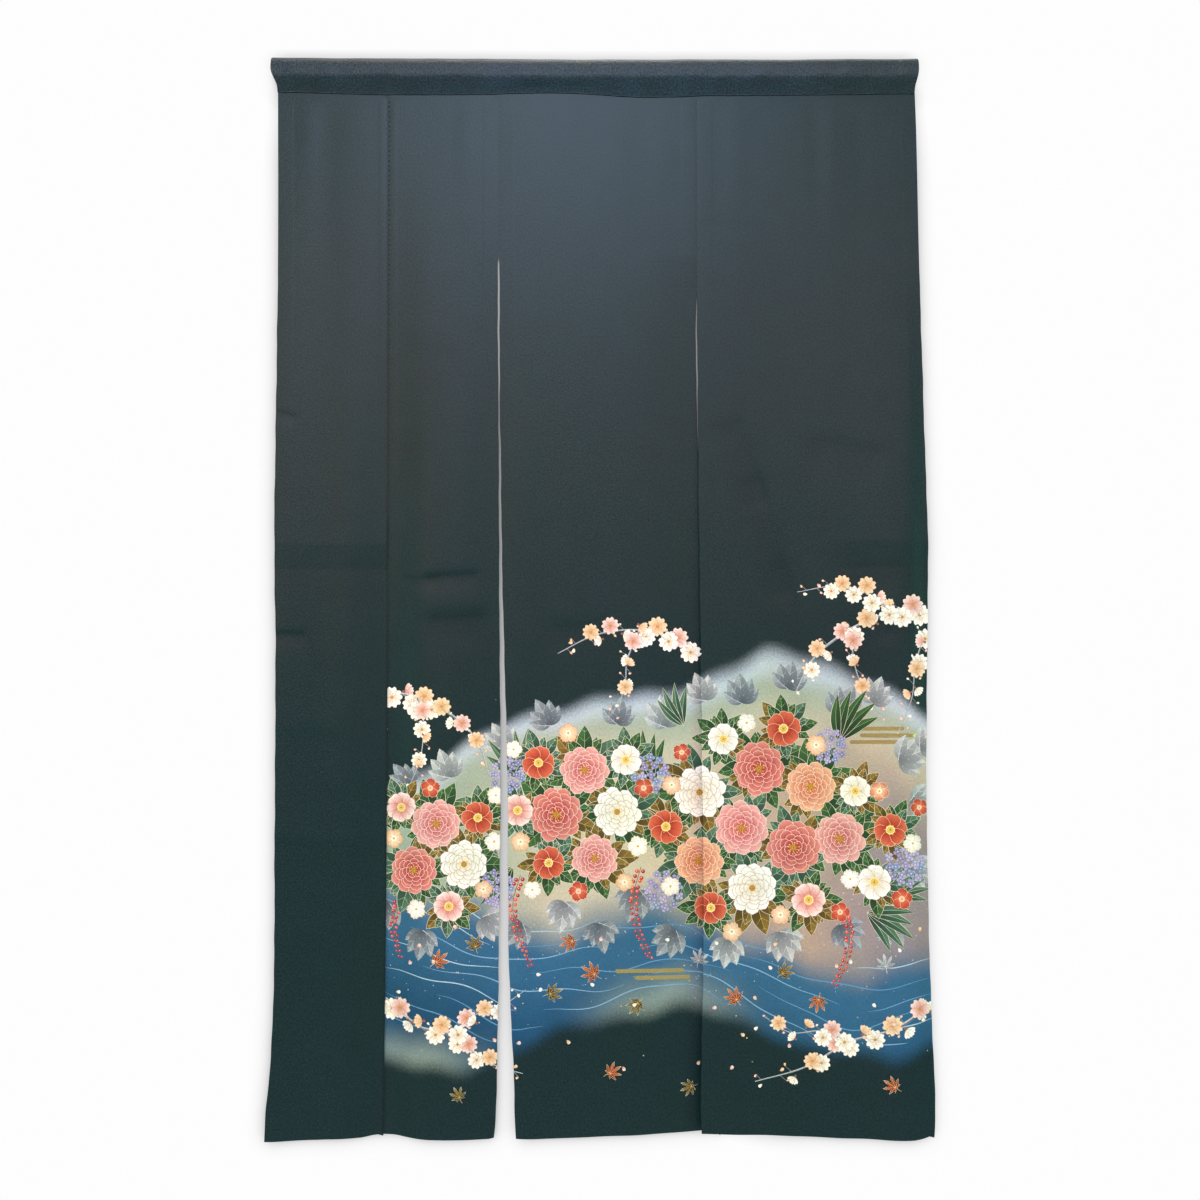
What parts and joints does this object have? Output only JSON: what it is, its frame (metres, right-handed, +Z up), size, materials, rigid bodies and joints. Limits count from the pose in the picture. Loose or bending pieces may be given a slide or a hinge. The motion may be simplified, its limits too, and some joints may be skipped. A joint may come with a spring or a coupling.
{
  "type": "noren curtain",
  "caption": "Doorway curtain of dark crepe: a folded rod sleeve above sewn cloth columns that part into slits, with painted flowers over its lower part.",
  "frame": {"origin": "middle of the heading sleeve's top edge, in the plane in which the curtain hangs", "axes": "+Z up along the drop, +X along the heading to the right seen from the front, the painted front faces -Y"},
  "size_m": [0.9061, 0.0442, 1.4798],
  "materials": {
    "heading_crepe": "rough black-green crepe, folded double",
    "plain_crepe": "fine black-green crepe with a soft sheen",
    "painted_crepe": "fine black-green crepe, painted with pale mist, water, blossoms and leaves"
  },
  "bodies": {
    "root": {"heading_sleeve": "heading_crepe", "panel_outer_left": "plain_crepe", "panel_inner_left": "painted_crepe", "panel_middle": "painted_crepe", "panel_right": "painted_crepe"}
  },
  "joints": []
}
